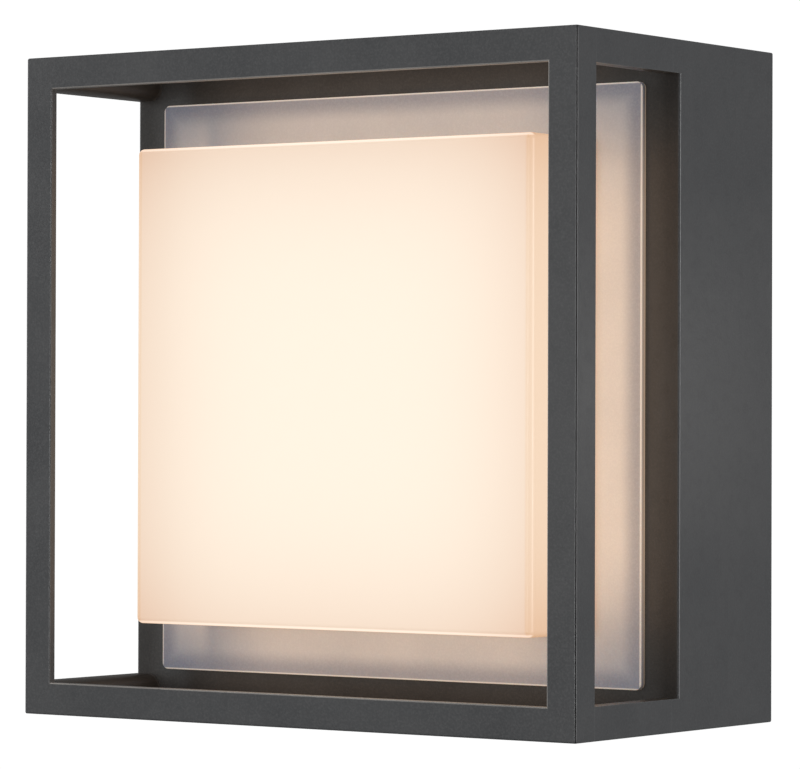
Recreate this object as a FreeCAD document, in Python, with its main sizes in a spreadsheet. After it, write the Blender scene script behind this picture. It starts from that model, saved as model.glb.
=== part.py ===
import FreeCAD, Part
import math
import os
import Sketcher

# Square outdoor wall lantern, about 200 x 200 x 107.5 mm.
# Row frame: the wall is the plane Y = 0, the origin is the centre of the lantern's back on the wall,
# the lantern faces -Y, +X is to its right as seen from the front, +Z is up. All sizes are in mm.
# Sketches lie on the XZ plane, whose normal is -Y, so a sketch's offset is its distance from the wall.

os.makedirs("parts", exist_ok=True)
doc = FreeCAD.newDocument("wall_lantern")
V = FreeCAD.Vector

# ---------------------------------------------------------------- driving dimensions
DIMS = [
    # the outside and the open cage
    ("body_w", 200.0, "overall width"),
    ("body_ht", 200.0, "overall height"),
    ("body_dp", 107.5, "wall to the front face"),
    ("cage_dp", 54.7, "front face to the housing's front face"),
    ("bar_w", 9.8, "front bar width"),
    ("front_thk", 2.4, "front bar thickness"),
    ("flange_dp", 9.7, "depth of the front frame's side flanges"),
    ("flange_thk", 2.8, "thickness of those flanges"),
    ("rail_w", 9.2, "corner rail width"),
    ("rail_ht", 9.8, "corner rail height"),
    ("rail_r", 4.5, "radius on a rail's inward edge"),
    ("stub_len", 4.0, "cast stub under each corner rail"),
    ("edge_r", 0.6, "outer edge radius"),
    ("inner_r", 0.4, "window edge radius"),
    ("stub_r", 1.2, "root radius of a stub"),
    # housing
    ("seal_thk", 1.2, "wall seal thickness"),
    ("lip", 0.8, "housing lip outside the wall seal"),
    ("seal_gap", 0.15, "gap round the seal"),
    ("shell_wall", 3.0, "housing side wall"),
    ("shell_front", 3.0, "housing front wall"),
    ("opening", 169.6, "light opening in the housing"),
    ("opening_r", 3.0, "corner radius of the opening"),
    ("rebate", 174.8, "gasket rebate around the opening"),
    ("rebate_dp", 0.8, "rebate depth"),
    ("pillar_at", 92.5, "gear plate pillar position from the centre lines"),
    ("pillar_r", 5.0, "pillar radius"),
    ("tap_r", 1.25, "tapped hole for the small screws"),
    ("clear_r", 1.7, "clearance hole for the small screws"),
    ("weep_r", 2.0, "weep hole radius"),
    ("weep_x", 80.0, "weep hole position"),
    ("weep_dist", 7.0, "weep hole distance from the wall"),
    # diffuser
    ("plate_size", 176.6, "frosted plate"),
    ("plate_thk", 2.0, "frosted plate thickness"),
    ("plate_r", 2.0, "frosted plate corner radius"),
    ("opal_size", 144.6, "opal box"),
    ("opal_inset", 19.1, "front face to the opal box's face"),
    ("opal_wall", 2.5, "opal box wall"),
    ("opal_r", 1.8, "opal box edge radius"),
    ("opal_fit", 0.2, "gap round the opal box in the plate"),
    ("opal_flange", 152.0, "opal box flange"),
    ("opal_flange_thk", 1.5, "opal box flange thickness"),
    ("post_at", 80.4, "plate post position from the centre lines"),
    ("post_r", 3.0, "plate post radius"),
    # reflector pan and LED board
    ("pan_flange", 177.0, "reflector pan flange"),
    ("pan_mouth", 153.0, "reflector pan mouth"),
    ("pan_floor", 122.0, "reflector pan floor"),
    ("pan_dp", 16.0, "reflector pan depth"),
    ("pan_thk", 1.0, "reflector pan sheet"),
    ("board_size", 108.0, "LED board"),
    ("board_thk", 1.6, "LED board thickness"),
    ("board_hole", 48.0, "LED board screw position"),
    ("led_pitch", 16.0, "LED spacing"),
    ("led_w", 2.8, "LED width"),
    ("led_l", 3.5, "LED length"),
    ("led_thk", 0.8, "LED height"),
    ("spread_w", 116.0, "heat spreader width"),
    ("spread_ht", 100.0, "heat spreader height"),
    ("spread_thk", 2.0, "heat spreader thickness"),
    ("lead_z", 57.5, "height of the lead hole"),
    ("lead_hole_r", 2.6, "lead grommet hole"),
    ("lead_bore_r", 2.0, "lead grommet bore"),
    ("lead_lip_r", 3.3, "lead grommet lip"),
    ("lead_r", 0.8, "LED lead radius"),
    # gear plate, driver, terminal block
    ("gear_size", 192.4, "gear plate"),
    ("gear_thk", 1.5, "gear plate sheet"),
    ("driver_l", 118.0, "driver length"),
    ("driver_w", 38.0, "driver width"),
    ("driver_thk", 17.0, "driver case depth"),
    ("driver_lid", 3.0, "driver lid thickness"),
    ("driver_z", 34.0, "driver height above the centre"),
    ("ear_x", 64.0, "driver ear hole position"),
    ("term_l", 34.0, "terminal block length"),
    ("term_w", 20.0, "terminal block width"),
    ("term_thk", 15.0, "terminal block depth"),
    ("term_z", -36.0, "terminal block height"),
    ("term_pitch", 10.0, "terminal spacing"),
    ("wire_dist", 22.5, "mains wires' distance from the wall"),
    ("wire_r", 1.2, "mains wire radius"),
    ("lug_x", 78.0, "earth screw position"),
    ("lug_z", -10.0, "earth screw height"),
    # wall bracket and clamp screws
    ("bracket_w", 90.0, "wall bracket width"),
    ("bracket_thk", 2.0, "wall bracket sheet"),
    ("tab_top", 96.9, "upper face of the top tabs"),
    ("tab_low", -90.0, "lower face of the bottom tabs"),
    ("tab_dp", 20.0, "tab depth"),
    ("tab_w", 18.0, "tab width"),
    ("tab_x", 35.0, "tab position"),
    ("slot_gap", 60.0, "wall slot spacing"),
    ("slot_len", 14.0, "wall slot length"),
    ("slot_r", 2.6, "wall slot half width"),
    ("hole_gap", 130.0, "round wall hole spacing"),
    ("hole_r", 2.75, "round wall hole radius"),
    ("collar_in", 12.0, "collar inner radius"),
    ("collar_out", 14.0, "collar outer radius"),
    ("collar_dp", 6.0, "collar reach from the wall"),
    ("cable_r", 4.0, "cable bore radius"),
    ("grub_r", 2.5, "clamp screw radius"),
    ("grub_gap", 0.05, "clamp screw running clearance"),
    ("grub_len", 9.8, "clamp screw length"),
    ("grub_dist", 12.0, "clamp screw distance from the wall"),
    ("pad_ht", 5.0, "boss height round a clamp screw"),
]
sheet = doc.addObject("Spreadsheet::Sheet", "dims")
sheet.Label = "dims"
sheet.set("A1", "what")
sheet.set("B1", "mm")
for i, (alias, value, what) in enumerate(DIMS, start=2):
    sheet.set("A%d" % i, what)
    sheet.set("B%d" % i, str(value))
    sheet.setAlias("B%d" % i, alias)
doc.recompute()

ALIASES = sorted((a for a, _, _ in DIMS), key=len, reverse=True)
DERIVED = {
    # distances from the wall
    "D_HOUSE": "(body_dp - cage_dp)",
    "D_FLANGE": "(body_dp - flange_dp)",
    "D_WALL_BACK": "(body_dp - cage_dp - shell_front)",
    "D_OPAL": "(body_dp - opal_inset)",
    "D_FLOOR": "(body_dp - cage_dp - shell_front - pan_dp)",
    "D_FLOOR_BACK": "(body_dp - cage_dp - shell_front - pan_dp - pan_thk)",
    "D_GEAR": "(body_dp - cage_dp - shell_front - pan_dp - pan_thk - spread_thk)",
    "D_GEAR_BACK": "(body_dp - cage_dp - shell_front - pan_dp - pan_thk - spread_thk - gear_thk)",
    "D_BOARD": "(body_dp - cage_dp - shell_front - pan_dp + board_thk)",
}


def x(text):
    """The text with every dimension's name turned into a reference to the sheet."""
    out, i = "", 0
    text = str(text)
    for k, v in DERIVED.items():
        text = text.replace(k, v) if k + "_" not in text else text
    while i < len(text):
        if text[i].isalpha():
            j = i
            while j < len(text) and (text[j].isalnum() or text[j] == "_"):
                j += 1
            word = text[i:j]
            if word in DERIVED:
                word = x(DERIVED[word])
            elif word in ALIASES:
                word = "dims." + word
            out += word
            i = j
        else:
            out += text[i]
            i += 1
    return out


def val(text):
    """The value of an expression, in mm."""
    got = sheet.evalExpression(x(text))
    return float(got.Value) if hasattr(got, "Value") else float(got)


# ---------------------------------------------------------------- sketch and feature helpers
def new_body(name):
    body = doc.addObject("PartDesign::Body", name + "_body")
    body.Label = name
    return body


def sketch(body, name, dist, role="XZ_Plane"):
    sk = body.newObject("Sketcher::SketchObject", name)
    face = [f for f in body.Origin.OriginFeatures if f.Role == role][0]
    sk.AttachmentSupport = [(face, "")]
    sk.MapMode = "FlatFace"
    sk.setExpression(".AttachmentOffset.Base.z", x(dist))
    return sk


def hold(sk, kind, *args, expr):
    n = sk.addConstraint(Sketcher.Constraint(kind, *args, val(expr)))
    sk.setExpression("Constraints[%d]" % n, x(expr))


def place_point(sk, geo, pos, cx, cz):
    for kind, axis, expr in (("DistanceX", -2, cx), ("DistanceY", -1, cz)):
        if abs(val(expr)) < 1e-9:
            sk.addConstraint(Sketcher.Constraint("PointOnObject", geo, pos, axis))
        else:
            hold(sk, kind, -1, 1, geo, pos, expr=expr)


def rect(sk, w, ht, cx="0", cz="0"):
    W, H, X, Z = val(w), val(ht), val(cx), val(cz)
    c = [V(X - W / 2, Z - H / 2, 0), V(X + W / 2, Z - H / 2, 0), V(X + W / 2, Z + H / 2, 0), V(X - W / 2, Z + H / 2, 0)]
    g = [sk.addGeometry(Part.LineSegment(c[k], c[(k + 1) % 4]), False) for k in range(4)]
    for k in range(4):
        sk.addConstraint(Sketcher.Constraint("Coincident", g[k], 2, g[(k + 1) % 4], 1))
    for k, kind in ((0, "Horizontal"), (1, "Vertical"), (2, "Horizontal"), (3, "Vertical")):
        sk.addConstraint(Sketcher.Constraint(kind, g[k]))
    hold(sk, "DistanceX", g[0], 1, g[0], 2, expr=w)
    hold(sk, "DistanceY", g[1], 1, g[1], 2, expr=ht)
    place_point(sk, g[0], 1, "(%s) - (%s) / 2" % (cx, w), "(%s) - (%s) / 2" % (cz, ht))


def circle(sk, r, cx="0", cz="0"):
    g = sk.addGeometry(Part.Circle(V(val(cx), val(cz), 0), V(0, 0, 1), val(r)), False)
    hold(sk, "Radius", g, expr=r)
    place_point(sk, g, 3, cx, cz)


def slot(sk, length, r, cx, cz):
    """A horizontal slot with round ends."""
    L, R, X, Z = val(length), val(r), val(cx), val(cz)
    s = L / 2 - R
    lo = sk.addGeometry(Part.LineSegment(V(X - s, Z - R, 0), V(X + s, Z - R, 0)), False)
    right = sk.addGeometry(Part.ArcOfCircle(Part.Circle(V(X + s, Z, 0), V(0, 0, 1), R), -math.pi / 2, math.pi / 2), False)
    hi = sk.addGeometry(Part.LineSegment(V(X + s, Z + R, 0), V(X - s, Z + R, 0)), False)
    left = sk.addGeometry(Part.ArcOfCircle(Part.Circle(V(X - s, Z, 0), V(0, 0, 1), R), math.pi / 2, 3 * math.pi / 2), False)
    for a, b in (((lo, 2), (right, 1)), ((right, 2), (hi, 1)), ((hi, 2), (left, 1)), ((left, 2), (lo, 1))):
        sk.addConstraint(Sketcher.Constraint("Tangent", a[0], a[1], b[0], b[1]))
    hold(sk, "Radius", right, expr=r)
    hold(sk, "DistanceX", left, 3, right, 3, expr="(%s) - 2 * (%s)" % (length, r))
    place_point(sk, left, 3, "(%s) - (%s) / 2 + (%s)" % (cx, length, r), cz)
    sk.addConstraint(Sketcher.Constraint("Horizontal", lo))


def volume(body):
    return body.Shape.Volume if body.Tip is not None and not body.Shape.isNull() else 0.0


def grew(body, before, sign, what):
    after = volume(body)
    if (after - before) * sign <= 1e-6:
        raise RuntimeError("%s changed nothing: %.3f to %.3f" % (what, before, after))


def pad(body, sk, length, backward=False):
    """Adds material forward, away from the wall, or backward."""
    before = volume(body)
    f = body.newObject("PartDesign::Pad", sk.Name + "_pad")
    f.Profile = sk
    f.Reversed = backward
    f.setExpression("Length", x(length))
    sk.Visibility = False
    doc.recompute()
    grew(body, before, 1, f.Name)
    return f


def pocket(body, sk, depth, forward=True):
    before = volume(body)
    f = body.newObject("PartDesign::Pocket", sk.Name + "_pocket")
    f.Profile = sk
    f.Reversed = forward
    f.setExpression("Length", x(depth))
    sk.Visibility = False
    doc.recompute()
    grew(body, before, -1, f.Name)
    return f


def edges_where(shape, test):
    names = []
    for i, e in enumerate(shape.Edges, start=1):
        b = e.BoundBox
        if test(b, e):
            names.append("Edge%d" % i)
    return names


def near(a, b, tol=0.02):
    return abs(a - b) < tol


def along(b, axis, tol=0.02):
    """True when an edge's box runs along one axis only."""
    size = {"X": b.XLength, "Y": b.YLength, "Z": b.ZLength}
    return all((s > tol) == (k == axis) for k, s in size.items())


def fillet(body, name, r, test, want=None):
    base = body.Tip
    names = edges_where(base.Shape, test)
    if not names or (want is not None and len(names) != want):
        raise RuntimeError("%s found %d edges, wanted %s" % (name, len(names), want))
    f = body.newObject("PartDesign::Fillet", name)
    f.Base = (base, names)
    f.setExpression("Radius", x(r))
    doc.recompute()
    if not f.Shape.isValid() or f.Shape.Volume <= 0:
        raise RuntimeError(name + " failed")
    return f


def corner_edges(hx, hz, lo=None, hi=None):
    """Edges along Y at the four corners |X| = hx, |Z| = hz."""
    def test(b, e):
        return (along(b, "Y") and near(abs(b.XMin), hx) and near(abs(b.ZMin), hz)
                and (lo is None or b.YMin > lo - 0.05) and (hi is None or b.YMax < hi + 0.05))
    return test


def frame_edges(yy, hx, hz):
    """The edges of a rectangle 2hx by 2hz lying in the plane Y = yy."""
    def test(b, e):
        if not (near(b.YMin, yy) and near(b.YMax, yy)):
            return False
        side = along(b, "Z") and near(abs(b.XMin), hx) and b.ZMax < hz + 0.05 and b.ZMin > -hz - 0.05
        flat = along(b, "X") and near(abs(b.ZMin), hz) and b.XMax < hx + 0.05 and b.XMin > -hx - 0.05
        return side or flat
    return test


# primitives: their axis can be turned to point forward (-Y) or backward (+Y)
FORWARD = FreeCAD.Rotation(V(1, 0, 0), 90)
BACKWARD = FreeCAD.Rotation(V(1, 0, 0), -90)


def prim(kind, name, sizes, pos, rot=None):
    o = doc.addObject(kind, name)
    for k, e in sizes.items():
        o.setExpression(k, x(e))
    if rot is not None:
        o.Placement = FreeCAD.Placement(V(0, 0, 0), rot)
    for axis, e in zip("xyz", pos):
        o.setExpression(".Placement.Base." + axis, x(e))
    return o


def box(name, w, dist0, dist1, ht, cx, cz):
    """A box centred at cx, cz that lies between two distances from the wall."""
    return prim("Part::Box", name, {"Length": w, "Width": "(%s) - (%s)" % (dist1, dist0), "Height": ht},
                ("(%s) - (%s) / 2" % (cx, w), "0 - (%s)" % dist1, "(%s) - (%s) / 2" % (cz, ht)))


def rod(name, r, dist0, dist1, cx, cz):
    """A cylinder across the wall's normal, between two distances from the wall."""
    return prim("Part::Cylinder", name, {"Radius": r, "Height": "(%s) - (%s)" % (dist1, dist0)},
                (cx, "0 - (%s)" % dist0, cz), FORWARD)


def pin_z(name, r, z0, z1, cx, dist):
    return prim("Part::Cylinder", name, {"Radius": r, "Height": "(%s) - (%s)" % (z1, z0)}, (cx, "0 - (%s)" % dist, z0))


def fuse(name, objs):
    o = doc.addObject("Part::MultiFuse", name)
    o.Shapes = objs
    return o


def cut(name, base, tool):
    o = doc.addObject("Part::Cut", name)
    o.Base, o.Tool = base, tool
    return o


def group(name, objs):
    o = doc.addObject("Part::Compound", name)
    o.Links = objs
    return o


def soften(name, obj, r, test):
    """A constant-radius fillet on a Part object."""
    doc.recompute()
    o = doc.addObject("Part::Fillet", name)
    o.Base = obj
    o.Edges = [(int(n[4:]), val(r), val(r)) for n in edges_where(obj.Shape, test)]
    return o


def screw(name, cx, cz, seat, tip, head_r, head_ht, shank_r, socket_r, facing):
    """A socket pan-head screw; its head stands on the seat and faces the front or the wall."""
    s = "+" if facing == "front" else "-"
    lo, hi = (seat, "(%s) + (%s)" % (seat, head_ht)) if facing == "front" else ("(%s) - (%s)" % (seat, head_ht), seat)
    head = rod(name + "_head", head_r, lo, hi, cx, cz)
    shank = rod(name + "_shank", shank_r, *((tip, seat) if facing == "front" else (seat, tip)), cx, cz)
    doc.recompute()
    top = -(val(hi) if facing == "front" else val(lo))
    head = soften(name + "_round", head, "(%s) * 0.35" % head_ht,
                  lambda b, e: near(b.YMin, top) and near(b.YMax, top) and b.XLength > 0.1)
    whole = fuse(name + "_whole", [head, shank])
    deep = "(%s) * 0.6" % head_ht
    key = doc.addObject("Part::Prism", name + "_key")
    key.Polygon = 6
    key.setExpression("Circumradius", x(socket_r))
    key.setExpression("Height", x("%s + 1" % deep))
    key.Placement = FreeCAD.Placement(V(0, 0, 0), FORWARD)
    start = "(%s) - %s" % (hi, deep) if facing == "front" else "(%s) - 1" % lo
    for axis, e in zip("xyz", (cx, "0 - (%s)" % start, cz)):
        key.setExpression(".Placement.Base." + axis, x(e))
    return cut(name, whole, key)


NODES = []


def node(name, obj):
    obj.Label = name
    NODES.append((name, obj))
    return obj


def sides(a="+", b="+"):
    return [(sx, sz) for sx in ("-", "") for sz in ("-", "")]


# ================================================================ the cage
# Front window frame: L-section bars all round, with a solid block in each corner where a rail lands.
b = new_body("front_frame")
s = sketch(b, "frame_outline", "D_FLANGE")
rect(s, "body_w", "body_ht")
pad(b, s, "flange_dp")
s = sketch(b, "frame_window", "D_FLANGE")
rect(s, "body_w - 2 * bar_w", "body_ht - 2 * bar_w")
pocket(b, s, "flange_dp")
s = sketch(b, "frame_back_sides", "D_FLANGE")
rect(s, "body_w - 2 * flange_thk", "body_ht - 2 * rail_ht")
pocket(b, s, "flange_dp - front_thk")
s = sketch(b, "frame_back_top", "D_FLANGE")
rect(s, "body_w - 2 * rail_w", "body_ht - 2 * flange_thk")
pocket(b, s, "flange_dp - front_thk")
F = -val("body_dp")
fillet(b, "frame_corner_round", "edge_r", corner_edges(val("body_w/2"), val("body_ht/2")), 4)
fillet(b, "frame_front_round", "edge_r",
       lambda q, e: near(q.YMin, F) and near(q.YMax, F) and (near(abs(q.XMin), 100, 0.8) or near(abs(q.XMax), 100, 0.8)
                                                             or near(abs(q.ZMin), 100, 0.8) or near(abs(q.ZMax), 100, 0.8)))
fillet(b, "frame_block_round", "rail_r", corner_edges(val("body_w/2 - rail_w"), val("body_ht/2 - rail_ht")), 4)
fillet(b, "frame_window_round", "inner_r", frame_edges(F, val("body_w/2 - bar_w"), val("body_ht/2 - bar_w")), 4)
YB = -val("D_FLANGE")
fillet(b, "frame_flange_round", "inner_r",
       lambda q, e: near(q.YMin, YB) and near(q.YMax, YB)
       and ((along(q, "Z") and near(abs(q.XMin), val("body_w/2 - flange_thk")) and q.ZLength > 100)
            or (along(q, "X") and near(abs(q.ZMin), val("body_ht/2 - flange_thk")) and q.XLength > 100)), 4)
node("front_frame", b)

# Four corner rails, round on the inward edge, from the housing's stubs to the front frame.
for sx, xn in (("-", "left"), ("", "right")):
    for sz, zn in (("", "top"), ("-", "bottom")):
        name = "corner_rail_%s_%s" % (zn, xn)
        b = new_body(name)
        s = sketch(b, name + "_section", "D_HOUSE + stub_len")
        rect(s, "rail_w", "rail_ht", "%s(body_w / 2 - rail_w / 2)" % (sx + "1 * "if sx else ""), "%s(body_ht / 2 - rail_ht / 2)" % (sz + "1 * " if sz else ""))
        pad(b, s, "cage_dp - stub_len - flange_dp")
        fillet(b, name + "_outer", "edge_r", corner_edges(val("body_w/2"), val("body_ht/2")), 1)
        fillet(b, name + "_inner", "rail_r", corner_edges(val("body_w/2 - rail_w"), val("body_ht/2 - rail_ht")), 1)
        node(name, b)

# ================================================================ housing
b = new_body("housing")
s = sketch(b, "housing_outline", "0")
rect(s, "body_w", "body_ht")
pad(b, s, "D_HOUSE")
s = sketch(b, "housing_hollow", "0")
rect(s, "body_w - 2 * shell_wall", "body_ht - 2 * shell_wall")
pocket(b, s, "D_WALL_BACK")
s = sketch(b, "housing_seal_rebate", "0")
rect(s, "body_w - 2 * lip", "body_ht - 2 * lip")
pocket(b, s, "seal_thk")
s = sketch(b, "housing_opening", "D_WALL_BACK")
rect(s, "opening", "opening")
pocket(b, s, "shell_front")
fillet(b, "housing_opening_round", "opening_r", corner_edges(val("opening/2"), val("opening/2")), 4)
s = sketch(b, "housing_rebate", "D_HOUSE - rebate_dp")
rect(s, "rebate", "rebate")
pocket(b, s, "rebate_dp")
for sx in ("-1 * ", ""):
    for sz in ("-1 * ", ""):
        tag = ("l" if sx else "r") + ("b" if sz else "t")
        s = sketch(b, "housing_stub_" + tag, "D_HOUSE")
        rect(s, "rail_w", "rail_ht", "%s(body_w / 2 - rail_w / 2)" % sx, "%s(body_ht / 2 - rail_ht / 2)" % sz)
        pad(b, s, "stub_len")
s = sketch(b, "housing_pillars", "D_WALL_BACK")
for sx in ("-1 * ", ""):
    for sz in ("-1 * ", ""):
        circle(s, "pillar_r", sx + "pillar_at", sz + "pillar_at")
f = pad(b, s, "D_WALL_BACK - D_GEAR", backward=True)
s = sketch(b, "housing_pillar_taps", "D_GEAR")
for sx in ("-1 * ", ""):
    for sz in ("-1 * ", ""):
        circle(s, "tap_r", sx + "pillar_at", sz + "pillar_at")
pocket(b, s, "12")
s = sketch(b, "housing_screw_pads", "4")
for sx in ("-1 * ", ""):
    rect(s, "12", "pad_ht + 0.5", sx + "tab_x", "shell_wall - body_ht / 2 + (pad_ht - 0.5) / 2")
pad(b, s, "18")
s = sketch(b, "housing_screw_holes", "0 - body_ht / 2 - 1", role="XY_Plane")
for sx in ("-1 * ", ""):
    circle(s, "grub_r + grub_gap", sx + "tab_x", "0 - grub_dist")
pad_depth = "shell_wall + pad_ht + 2"
pocket(b, s, pad_depth)
s = sketch(b, "housing_weep_holes", "0 - body_ht / 2 - 1", role="XY_Plane")
for sx in ("-1 * ", ""):
    circle(s, "weep_r", sx + "weep_x", "0 - weep_dist")
pocket(b, s, "shell_wall + 2")
YH = -val("D_HOUSE")
fillet(b, "housing_corner_round", "edge_r", corner_edges(val("body_w/2"), val("body_ht/2")), 4)
fillet(b, "housing_stub_inner", "rail_r", corner_edges(val("body_w/2 - rail_w"), val("body_ht/2 - rail_ht")), 4)
fillet(b, "housing_front_round", "edge_r",
       lambda q, e: near(q.YMin, YH) and near(q.YMax, YH)
       and ((along(q, "Z") and near(abs(q.XMin), val("body_w/2")) and q.ZLength > 100)
            or (along(q, "X") and near(abs(q.ZMin), val("body_ht/2")) and q.XLength > 100)), 4)
node("housing", b)

# Foam seal in the rebate of the housing's back rim.
b = new_body("wall_seal")
s = sketch(b, "wall_seal_ring", "0")
rect(s, "body_w - 2 * lip - 2 * seal_gap", "body_ht - 2 * lip - 2 * seal_gap")
rect(s, "body_w - 5.4", "body_ht - 5.4")
pad(b, s, "seal_thk")
node("wall_seal", b)

# ================================================================ diffuser
b = new_body("frosted_plate")
s = sketch(b, "plate_outline", "D_HOUSE")
rect(s, "plate_size", "plate_size")
pad(b, s, "plate_thk")
fillet(b, "plate_corner_round", "plate_r", corner_edges(val("plate_size/2"), val("plate_size/2")), 4)
s = sketch(b, "plate_hole", "D_HOUSE")
rect(s, "opal_size + 2 * opal_fit", "opal_size + 2 * opal_fit")
pocket(b, s, "plate_thk")
fillet(b, "plate_hole_round", "opal_r + opal_fit", corner_edges(val("opal_size/2 + opal_fit"), val("opal_size/2 + opal_fit")), 4)
YP = -val("D_HOUSE + plate_thk")
fillet(b, "plate_front_round", "0.3",
       lambda q, e: near(q.YMin, YP) and near(q.YMax, YP)
       and max(abs(q.XMin), abs(q.XMax), abs(q.ZMin), abs(q.ZMax)) > val("plate_size/2") - 2.1)
s = sketch(b, "plate_posts", "D_HOUSE")
for sx in ("-1 * ", ""):
    for sz in ("-1 * ", ""):
        circle(s, "post_r", sx + "post_at", sz + "post_at")
pad(b, s, "shell_front", backward=True)
s = sketch(b, "plate_post_holes", "D_WALL_BACK")
for sx in ("-1 * ", ""):
    for sz in ("-1 * ", ""):
        circle(s, "tap_r", sx + "post_at", sz + "post_at")
pocket(b, s, "shell_front + 1")
node("frosted_plate", b)

b = new_body("opal_box")
s = sketch(b, "opal_outline", "D_HOUSE - opal_flange_thk")
rect(s, "opal_size", "opal_size")
pad(b, s, "D_OPAL - D_HOUSE + opal_flange_thk")
fillet(b, "opal_corner_round", "opal_r", corner_edges(val("opal_size/2"), val("opal_size/2")), 4)
YO = -val("D_OPAL")
fillet(b, "opal_front_round", "opal_r", lambda q, e: near(q.YMin, YO) and near(q.YMax, YO))
s = sketch(b, "opal_flange_outline", "D_HOUSE - opal_flange_thk")
rect(s, "opal_flange", "opal_flange")
pad(b, s, "opal_flange_thk")
s = sketch(b, "opal_hollow", "D_HOUSE - opal_flange_thk")
rect(s, "opal_size - 2 * opal_wall", "opal_size - 2 * opal_wall")
pocket(b, s, "D_OPAL - D_HOUSE + opal_flange_thk - opal_wall")
hw = val("opal_size/2 - opal_wall")
fillet(b, "opal_hollow_round", "1", corner_edges(hw, hw), 4)
node("opal_box", b)

b = new_body("diffuser_gasket")
s = sketch(b, "gasket_ring", "D_HOUSE - rebate_dp")
rect(s, "rebate - 0.2", "rebate - 0.2")
rect(s, "opening + 0.4", "opening + 0.4")
pad(b, s, "rebate_dp")
node("diffuser_gasket", b)

# ================================================================ reflector pan and LED board
b = new_body("reflector_pan")
s1 = sketch(b, "pan_outer_front", "D_WALL_BACK")
rect(s1, "pan_mouth + 2 * pan_thk", "pan_mouth + 2 * pan_thk")
s2 = sketch(b, "pan_outer_back", "D_FLOOR_BACK")
rect(s2, "pan_floor + 2 * pan_thk", "pan_floor + 2 * pan_thk")
lo = body_loft = b.newObject("PartDesign::AdditiveLoft", "pan_outer")
lo.Profile = s1
lo.Sections = [s2]
lo.Ruled = True
doc.recompute()
s = sketch(b, "pan_flange_outline", "D_WALL_BACK - pan_thk")
rect(s, "pan_flange", "pan_flange")
pad(b, s, "pan_thk")
hp = val("pan_flange/2")
fillet(b, "pan_flange_round", "6", corner_edges(hp, hp), 4)
s1 = sketch(b, "pan_inner_front", "D_WALL_BACK")
rect(s1, "pan_mouth", "pan_mouth")
s2 = sketch(b, "pan_inner_back", "D_FLOOR")
rect(s2, "pan_floor", "pan_floor")
before = volume(b)
lo = b.newObject("PartDesign::SubtractiveLoft", "pan_inner")
lo.Profile = s1
lo.Sections = [s2]
lo.Ruled = True
doc.recompute()
grew(b, before, -1, "pan_inner")
s = sketch(b, "pan_flange_holes", "D_WALL_BACK - pan_thk")
for sx in ("-1 * ", ""):
    for sz in ("-1 * ", ""):
        circle(s, "clear_r", sx + "post_at", sz + "post_at")
pocket(b, s, "pan_thk")
s = sketch(b, "pan_floor_holes", "D_FLOOR_BACK")
for sx in ("-1 * ", ""):
    for sz in ("-1 * ", ""):
        circle(s, "clear_r", sx + "board_hole", sz + "board_hole")
circle(s, "lead_hole_r", "0", "lead_z")
pocket(b, s, "pan_thk")
node("reflector_pan", b)

b = new_body("led_board")
s = sketch(b, "board_outline", "D_FLOOR")
rect(s, "board_size", "board_size")
for sx in ("-1 * ", ""):
    for sz in ("-1 * ", ""):
        circle(s, "clear_r", sx + "board_hole", sz + "board_hole")
pad(b, s, "board_thk")
hb = val("board_size/2")
fillet(b, "board_corner_round", "3", corner_edges(hb, hb), 4)
node("led_board", b)

chips = []
for i in range(6):
    for j in range(6):
        chips.append(box("led_%d%d" % (i, j), "led_w", "D_BOARD", "D_BOARD + led_thk", "led_l",
                         "(%d - 2.5) * led_pitch" % i, "(%d - 2.5) * led_pitch" % j))
node("led_chips", group("led_chips_group", chips))

b = new_body("heat_spreader")
s = sketch(b, "spreader_outline", "D_GEAR")
rect(s, "spread_w", "spread_ht")
for sx in ("-1 * ", ""):
    for sz in ("-1 * ", ""):
        circle(s, "tap_r", sx + "board_hole", sz + "(board_hole)")
pad(b, s, "spread_thk")
node("heat_spreader", b)

# Connector at the top of the board, with two lead sockets.
conn = box("connector_block", "6", "D_BOARD", "D_BOARD + 2.5", "5", "0", "49.5")
sockets = [pin_z("connector_socket_%d" % k, "lead_r + 0.1", "49.5", "53", cx, "D_BOARD + 1.25") for k, cx in enumerate(("-1.1", "1.1"))]
node("board_connector", cut("board_connector_cut", conn, fuse("connector_sockets", sockets)))

# ================================================================ gear plate and electrical parts
b = new_body("gear_plate")
s = sketch(b, "gear_outline", "D_GEAR_BACK")
rect(s, "gear_size", "gear_size")
for sx in ("-1 * ", ""):
    for sz in ("-1 * ", ""):
        circle(s, "clear_r", sx + "pillar_at", sz + "pillar_at")
    circle(s, "tap_r", sx + "ear_x", "driver_z")
    circle(s, "1.05", sx + "term_pitch / 2", "term_z")
circle(s, "lead_hole_r", "0", "lead_z")
circle(s, "1.65", "lug_x", "lug_z")
pad(b, s, "gear_thk")
hg = val("gear_size/2")
fillet(b, "gear_corner_round", "5", corner_edges(hg, hg), 4)
node("gear_plate", b)

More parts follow.
